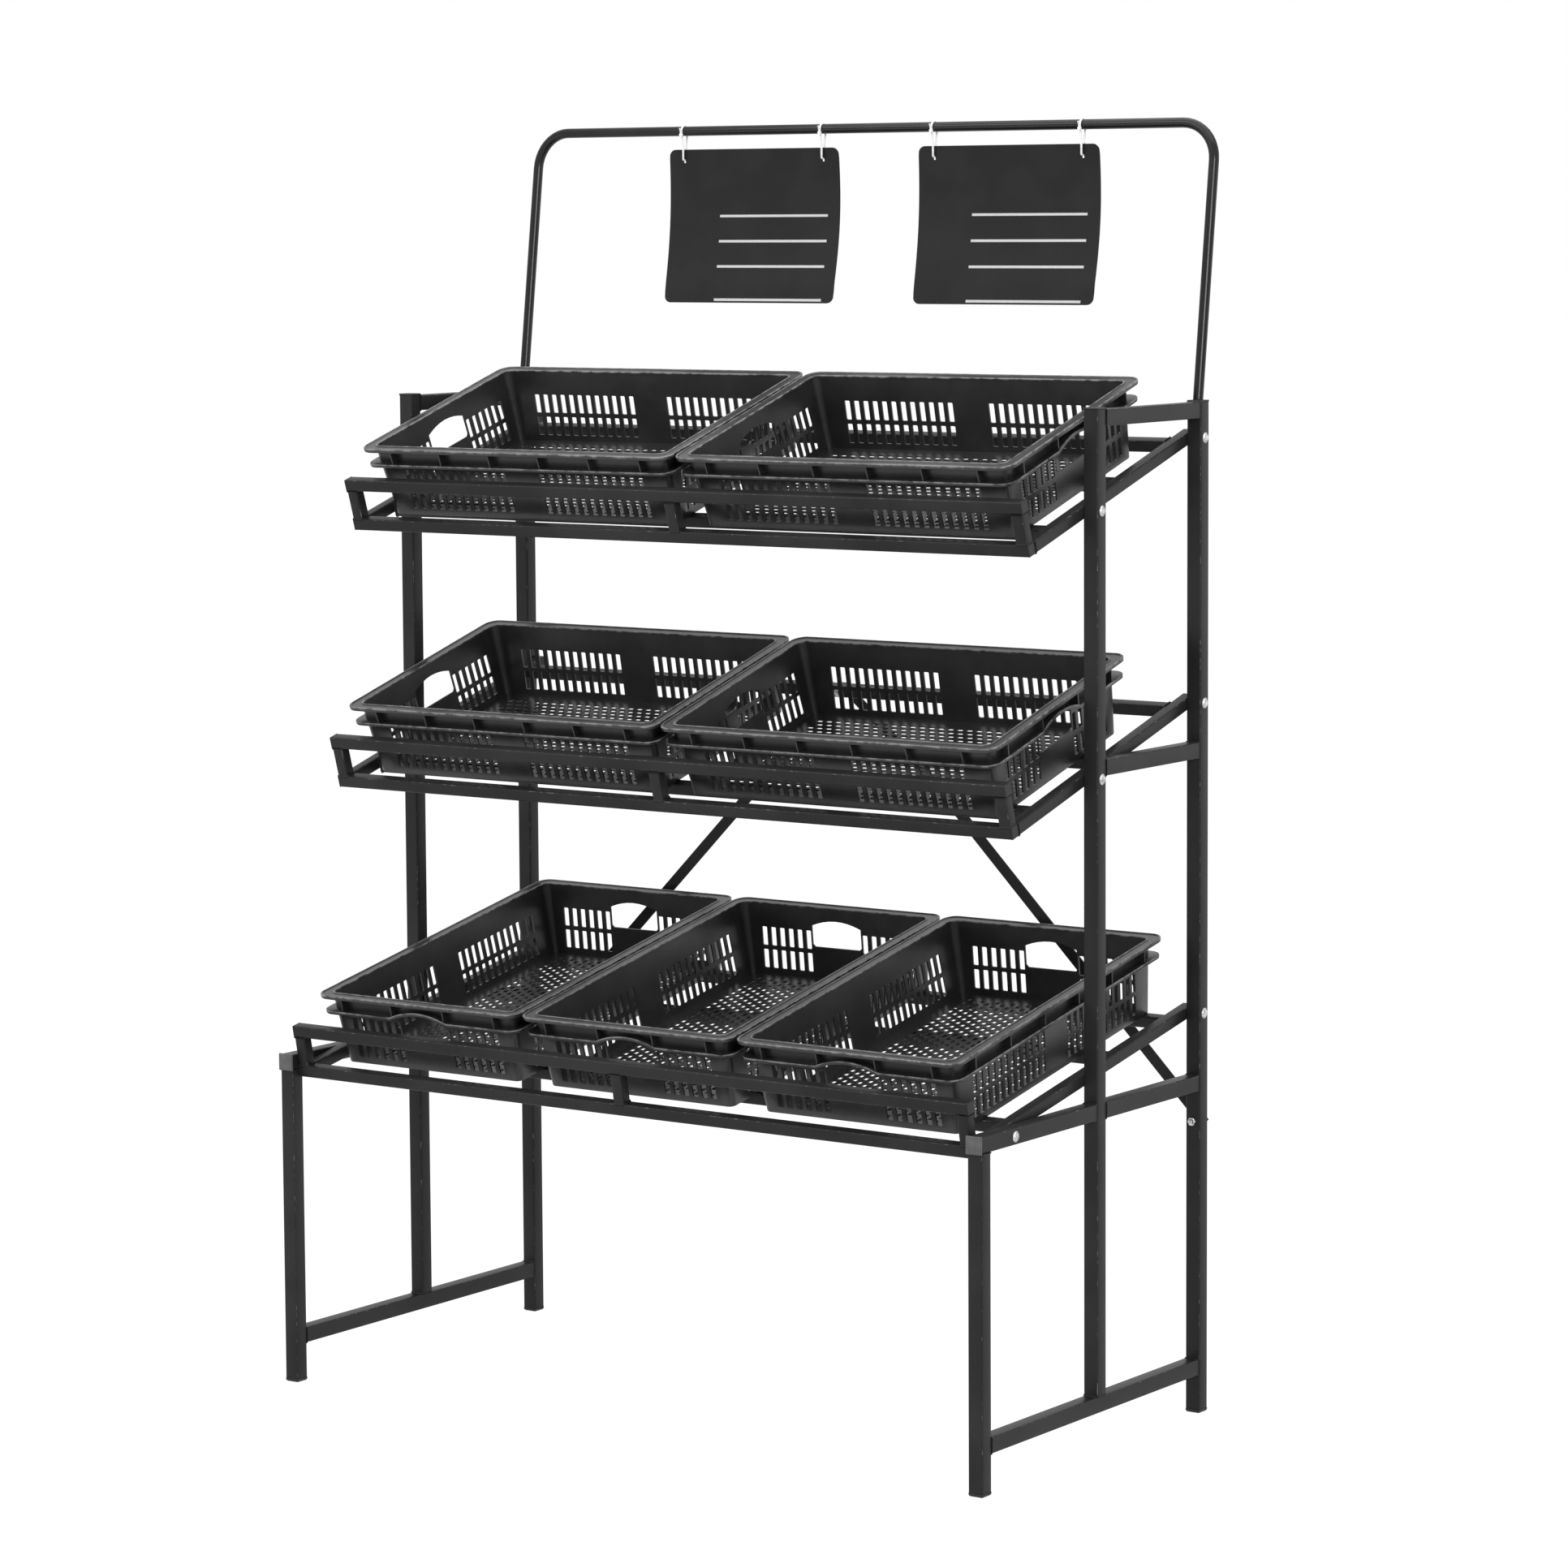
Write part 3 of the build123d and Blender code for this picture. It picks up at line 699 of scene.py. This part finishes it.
crateMesh = buildCrate(crateLook)
print("crate moulding:", len(crateMesh.polygons), "faces")
for shelf, degrees in shelfTilts.items():
    tilt = math.radians(degrees)
    for place in ("left", "centre", "right"):
        node = f"{shelf}_{place}_crate"
        if node not in nodes:
            continue
        low, high = looseBoxes(node, tilt)[0]
        spot = Vector(((low.x + high.x) / 2, (low.y + high.y) / 2, low.z))
        quarter = math.pi / 2 if high.y - low.y > high.x - low.x else 0
        lie = Matrix.Rotation(tilt, 4, "X") @ Matrix.Translation(spot)
        moulding = crateMesh.copy()
        moulding.transform(lie @ Matrix.Rotation(quarter, 4, "Z") @ Matrix.Scale(mm, 4))
        finishPiece(f"{node}_moulding", moulding, cratePlastic, "crate_plastic", node)
bpy.data.meshes.remove(crateMesh)
print("crates placed")

sheetLook = {
    "corner": 12 * mm, "cornerSteps": 5, "thick": 1.6 * mm, "crease": 50, "merge": 0.05 * mm,
    "rows": 28, "rowGap": 2 * mm, "columns": 24, "columnGap": 3 * mm,
    "curl": 19 * mm, "curlPower": 2.2, "belly": 5 * mm, "bellyRate": 1.15, "bellyLean": 0.3,
    "tieInset": 30 * mm, "slotWide": 4 * mm, "slotTall": 6 * mm, "slotDrop": 19 * mm,
}


def evenMarks(fixed, start, end, number, gap):  # even steps, without those too near a fixed mark
    marks = set(fixed)
    for step in range(1, number):
        mark = start + (end - start) * step / number
        if all(abs(mark - other) > gap for other in marks):
            marks.add(mark)
    return sorted(marks)


def makeBoardSheet(side, look):  # curls forward at the foot and bellies back in the middle
    node = f"{side}_price_board"
    low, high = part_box(node)
    middle = (low.y + high.y) / 2
    corner = look["corner"]

    def cornerPull(z):  # how far the rounded corners pull the side edges in
        edge = min(z - low.z, high.z - z)
        return 0 if edge >= corner else corner - math.sqrt(max(corner**2 - (corner - edge) ** 2, 0))

    def depth(x, z):
        t = (high.z - z) / (high.z - low.z)
        bow = math.sin(math.pi * min(t * look["bellyRate"], 1))
        lean = ((x - low.x) / (high.x - low.x) - 0.5) * 2  # -1 at the left edge, 1 at the right
        belly = look["belly"] * bow * (1 + look["bellyLean"] * lean)
        return middle + belly - look["curl"] * t ** look["curlPower"]

    slotTop = high.z - look["slotDrop"] + look["slotTall"] / 2
    slotFoot = slotTop - look["slotTall"]
    slots = [low.x + look["tieInset"], high.x - look["tieInset"]]
    half = look["slotWide"] / 2
    heights = [low.z, high.z, slotTop, slotFoot]
    for step in range(look["cornerSteps"]):
        pull = corner * (1 - math.cos(math.pi / 2 * step / look["cornerSteps"]))
        heights += [low.z + pull, high.z - pull]
    marks = [low.x, high.x] + [x + edge for x in slots for edge in (-half, half)]
    rows = evenMarks(heights, low.z, high.z, look["rows"], look["rowGap"])
    columns = evenMarks(marks, low.x, high.x, look["columns"], look["columnGap"])

    bm, _ = newMesh()
    front, back = {}, {}
    for grid, offset in ((front, -look["thick"] / 2), (back, look["thick"] / 2)):
        for r, z in enumerate(rows):
            pull = cornerPull(z)
            for c, mark in enumerate(columns):
                x = min(max(mark, low.x + pull), high.x - pull)
                grid[r, c] = bm.verts.new((x, depth(x, z) + offset, z))

    def isSlot(r, c):
        x, z = (columns[c] + columns[c + 1]) / 2, (rows[r] + rows[r + 1]) / 2
        return slotFoot < z < slotTop and any(abs(x - slot) < half for slot in slots)

    spans = [(r, c) for r in range(len(rows) - 1) for c in range(len(columns) - 1)]
    cells = {cell for cell in spans if not isSlot(*cell)}
    for r, c in cells:
        for grid in (front, back):
            bm.faces.new((grid[r, c], grid[r, c + 1], grid[r + 1, c + 1], grid[r + 1, c]))
        borders = {
            (r - 1, c): ((r, c), (r, c + 1)), (r + 1, c): ((r + 1, c), (r + 1, c + 1)),
            (r, c - 1): ((r, c), (r + 1, c)), (r, c + 1): ((r, c + 1), (r + 1, c + 1)),
        }
        for neighbour, (one, two) in borders.items():
            if neighbour not in cells:
                bm.faces.new((front[one], front[two], back[two], back[one]))
    bmesh.ops.remove_doubles(bm, verts=bm.verts, dist=look["merge"])
    finish = makeBoard(f"{side}BoardPrint", low, high, boardLook)
    mesh = meshOf(bm, node)
    finishPiece(f"{node}_sheet", mesh, finish, "board_plastic", node, crease=look["crease"])


tieLook = {
    "wide": 3.2 * mm, "thick": 1.0 * mm, "barGap": 0.3 * mm,
    "arcStart": -20, "arcSpan": 220, "arcSteps": 14,
    "pinch": 4.2 * mm, "legTop": 4 * mm, "legFoot": 2.5 * mm,
    "footPinch": 0.7, "footLift": 0.4 * mm,
    "headWide": 5.4 * mm, "headDeep": 4.2 * mm, "headTall": 5 * mm,
    "headSink": 1 * mm, "headDrop": 9 * mm,
    "headEase": {"offset": 0.9 * mm, "segments": 2, "profile": 0.7},
    "tail": ((0.4, -1 * mm), (0.2, 4.5 * mm), (-0.3, 9 * mm)),  # share of the head's depth, height
}


def makeTies(side, look):  # strap loops over the sign bar and through the sheet's slots
    node = f"{side}_board_ties"
    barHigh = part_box("sign_frame")[1]
    middleY, middleZ = barHigh.y - barRadius(), barHigh.z - barRadius()
    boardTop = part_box(f"{side}_price_board")[1].z
    slot = boardTop - sheetLook["slotDrop"] + look["thick"]
    radius = barRadius() + look["barGap"] + look["thick"] / 2
    a, b = look["wide"] / 2, look["thick"] / 2
    strap = [(-a, -b), (a, -b), (a, b), (-a, b)]
    leg = [
        (1, boardTop + look["legTop"]), (1, slot + look["legFoot"]),
        (look["footPinch"], slot + look["footLift"]),
    ]
    legs = [(-share, z) for share, z in leg] + [(0, slot)] + leg[::-1]
    size = Vector((look["headWide"], look["headDeep"], look["headTall"]))
    bm, _ = newMesh()
    for low, high in looseBoxes(node):
        x = (low.x + high.x) / 2
        path = []
        for step in range(look["arcSteps"] + 1):
            angle = math.radians(look["arcStart"] + look["arcSpan"] * step / look["arcSteps"])
            y, z = middleY + radius * math.cos(angle), middleZ + radius * math.sin(angle)
            path.append(Vector((x, y, z)))
        path += [Vector((x, middleY + share * look["pinch"], z)) for share, z in legs]
        sweptRings(bm, path, strap, closed=True)
        headY = middleY - radius - size.y + look["headSink"]
        headLow = Vector((x - size.x / 2, headY, middleZ - look["headDrop"]))
        addBlock(bm, headLow, headLow + size, look["headEase"])
        headTop = headLow.z + size.z
        tail = [Vector((x, headLow.y + size.y * share, headTop + up)) for share, up in look["tail"]]
        capEnds(bm, sweptRings(bm, tail, strap))
    finishPiece(f"{node}_straps", meshOf(bm, node), tieNylon, "tie_nylon", node)


def addBlock(bm, low, high, ease):  # a small block with eased edges
    shape = Matrix.LocRotScale((low + high) / 2, None, high - low)
    made = bmesh.ops.create_cube(bm, size=1, matrix=shape)["verts"]
    edges = list({edge for vert in made for edge in vert.link_edges})
    bmesh.ops.bevel(bm, geom=edges, affect="EDGES", **ease)


for side in ("left", "right"):
    makeBoardSheet(side, sheetLook)
    makeTies(side, tieLook)
print("boards hung")

boltLook = {
    "profile": (  # radius and height in mm
        (8.2, 0), (8.2, 0.7), (7.8, 1.0), (6.9, 1.05),
        (6.6, 1.6), (5.7, 2.7), (4.2, 3.5), (2.2, 3.85),
    ),
    "crown": 3.9, "sides": 24,
}


def makeShelfBolts(look):  # mushroom heads on washers against the outer faces of the posts
    bm, _ = newMesh()
    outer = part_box("right_front_leg")[1].x
    for low, high in looseBoxes("shelf_bolts"):
        y, z = (low.y + high.y) / 2, (low.z + high.z) / 2
        sign = 1 if high.x > 0 else -1
        rings = []
        for radius, lift in look["profile"]:
            x = sign * (outer + lift * mm)
            spots = circle(radius * mm, look["sides"])
            rings.append([bm.verts.new((x, y + a, z + b)) for a, b in spots])
        closedRings(bm, rings)
        bm.faces.new(rings[0])
        crown = bm.verts.new((sign * (outer + look["crown"] * mm), y, z))
        for k in range(look["sides"]):
            bm.faces.new((rings[-1][k - 1], rings[-1][k], crown))
    mesh = meshOf(bm, "shelf_bolts")
    finishPiece("shelf_bolts_heads", mesh, zincSteel, "zinc_steel", "shelf_bolts")


makeShelfBolts(boltLook)
print("bolts made")

easeLook = {
    "merge": 0.005 * mm, "steps": 3, "leastAngle": 25,
    "nodes": {  # the CAD nodes that stay, with their finish and their eased edges' width in mm
        "leg_feet": (trimPlastic, 1.2), "mid_post_caps": (trimPlastic, 0.8),
        "table_rail_plugs": (plugPlastic, 0.7), "sign_bushes": (trimPlastic, 0.8),
        "shelf_rail_plugs": (trimPlastic, 0.7),
        "left_brace": (framePaint, 0.5), "right_brace": (framePaint, 0.5),
        "brace_bolts": (zincSteel, 0.6), "brace_nuts": (zincSteel, 0.5),
    },
}


def easeNodes(look):
    for name, (finish, width) in look["nodes"].items():
        node = nodes[name]
        node.data.materials.clear()
        node.data.materials.append(finish)
        weld = node.modifiers.new("weld", "WELD")
        weld.merge_threshold = look["merge"]
        bevel = node.modifiers.new("ease", "BEVEL")
        bevel.width = width * mm
        bevel.segments = look["steps"]
        bevel.limit_method = "ANGLE"
        bevel.angle_limit = math.radians(look["leastAngle"])
        bevel.loop_slide = False  # keeps the feet on the floor


easeNodes(easeLook)
print("small parts eased")

stageLook = {
    "floorSize": 120, "floor": grey(0.88), "floorShare": 0.88, "glow": 1.1, "ambient": 0.46,
    "lamps": {  # place, target, width, height, power
        "overheadSoft": ((0.4, -0.2, 4.6), (0, 0, 0.9), 4.6, 4.6, 130),
        "backRightSoft": ((4.4, 6.2, 1.5), (0, 0, 0.8), 3.4, 3.4, 26),
        "rightSoft": ((4.9, -3.9, 3.0), (0, 0.2, 1.6), 2.8, 1.4, 140),
        "frontLeftSoft": ((-1.8, -3.2, 3.8), (-1.6, -2.4, 0), 2.2, 2.2, 70),
        "frontLowSoft": ((-2.6, -4.2, 0.5), (0, 0, 0.6), 2.0, 1.4, 12),
    },
}


def seenRays(wire):  # 1 for what the camera sees, straight, mirrored or through glass
    names = ("Is Camera Ray", "Is Glossy Ray", "Is Transmission Ray")
    camera, glossy, through = [wire.make("LightPath", out=name) for name in names]
    return wire.calc("MINIMUM", camera + glossy + through, 1)


def makeWorld(look):
    world = bpy.data.worlds.new("studio")
    bpy.context.scene.world = world
    world.use_nodes = True
    world.node_tree.nodes.clear()
    wire = Wire(world.node_tree)
    ambient = wire.make("Background", None, {"Color": grey(1), "Strength": look["ambient"]})
    white = wire.make("Background", None, {"Color": grey(1), "Strength": 1})
    sky = wire.make("MixShader", None, {0: seenRays(wire), 1: ambient, 2: white})
    wire.make("OutputWorld", None, {"Surface": sky})


def makeFloor(look):  # white paper that keeps a soft shadow
    paper = bpy.data.materials.new("paperFloor")
    paper.use_nodes = True
    paper.node_tree.nodes.clear()
    wire = Wire(paper.node_tree)
    matt = wire.make("BsdfDiffuse", None, {"Color": look["floor"]})
    glow = wire.make("Emission", None, {"Color": grey(1), "Strength": look["glow"]})
    share = seenRays(wire) * look["floorShare"]
    surface = wire.make("MixShader", None, {0: share, 1: matt, 2: glow})
    wire.make("OutputMaterial", None, {"Surface": surface})
    bm = bmesh.new()
    bmesh.ops.create_grid(bm, x_segments=1, y_segments=1, size=look["floorSize"] / 2)
    mesh = bpy.data.meshes.new("floor")
    bm.to_mesh(mesh)
    bm.free()
    mesh.materials.append(paper)
    floor = bpy.data.objects.new("floor", mesh)
    bpy.context.scene.collection.objects.link(floor)


def makeLamps(look):
    for name, (place, target, wide, tall, power) in look["lamps"].items():
        lamp = bpy.data.lights.new(name, "AREA")
        lamp.shape = "RECTANGLE"
        lamp.size, lamp.size_y = wide, tall
        lamp.energy = power
        stand = bpy.data.objects.new(name, lamp)
        stand.location = place
        aim = Vector(target) - Vector(place)
        stand.rotation_euler = aim.to_track_quat("-Z", "Y").to_euler()
        bpy.context.scene.collection.objects.link(stand)


makeWorld(stageLook)
makeFloor(stageLook)
makeLamps(stageLook)
print("stage lit")

cameraLook = {
    "place": (4.5506, -6.4411, 1.8846), "yaw": 35.846, "pitch": -5.538, "roll": -0.456,
    "focalPixels": 6241.3, "imagePixels": 1932, "sensor": 36, "shift": (0.06, -0.06),
    "clipEnd": 100,
}


def makeCamera(look):
    yaw, pitch, roll = [math.radians(look[name]) for name in ("yaw", "pitch", "roll")]
    right = Vector((math.cos(yaw), math.sin(yaw), 0))
    level = Vector((-math.sin(yaw), math.cos(yaw), 0))
    ahead = level * math.cos(pitch) + Vector((0, 0, math.sin(pitch)))
    up = right.cross(ahead)
    across = right * math.cos(roll) + up * math.sin(roll)
    above = up * math.cos(roll) - right * math.sin(roll)
    camera = bpy.data.cameras.new("camera")
    camera.sensor_width = look["sensor"]
    camera.lens = look["focalPixels"] / look["imagePixels"] * look["sensor"]
    camera.shift_x, camera.shift_y = look["shift"]
    camera.clip_end = look["clipEnd"]
    stand = bpy.data.objects.new("camera", camera)
    turn = Matrix((across, above, -ahead)).transposed().to_4x4()
    stand.matrix_world = Matrix.Translation(look["place"]) @ turn
    bpy.context.scene.collection.objects.link(stand)
    bpy.context.scene.camera = stand


makeCamera(cameraLook)
bpy.context.scene.view_settings.view_transform = "Standard"
bpy.context.view_layer.update()
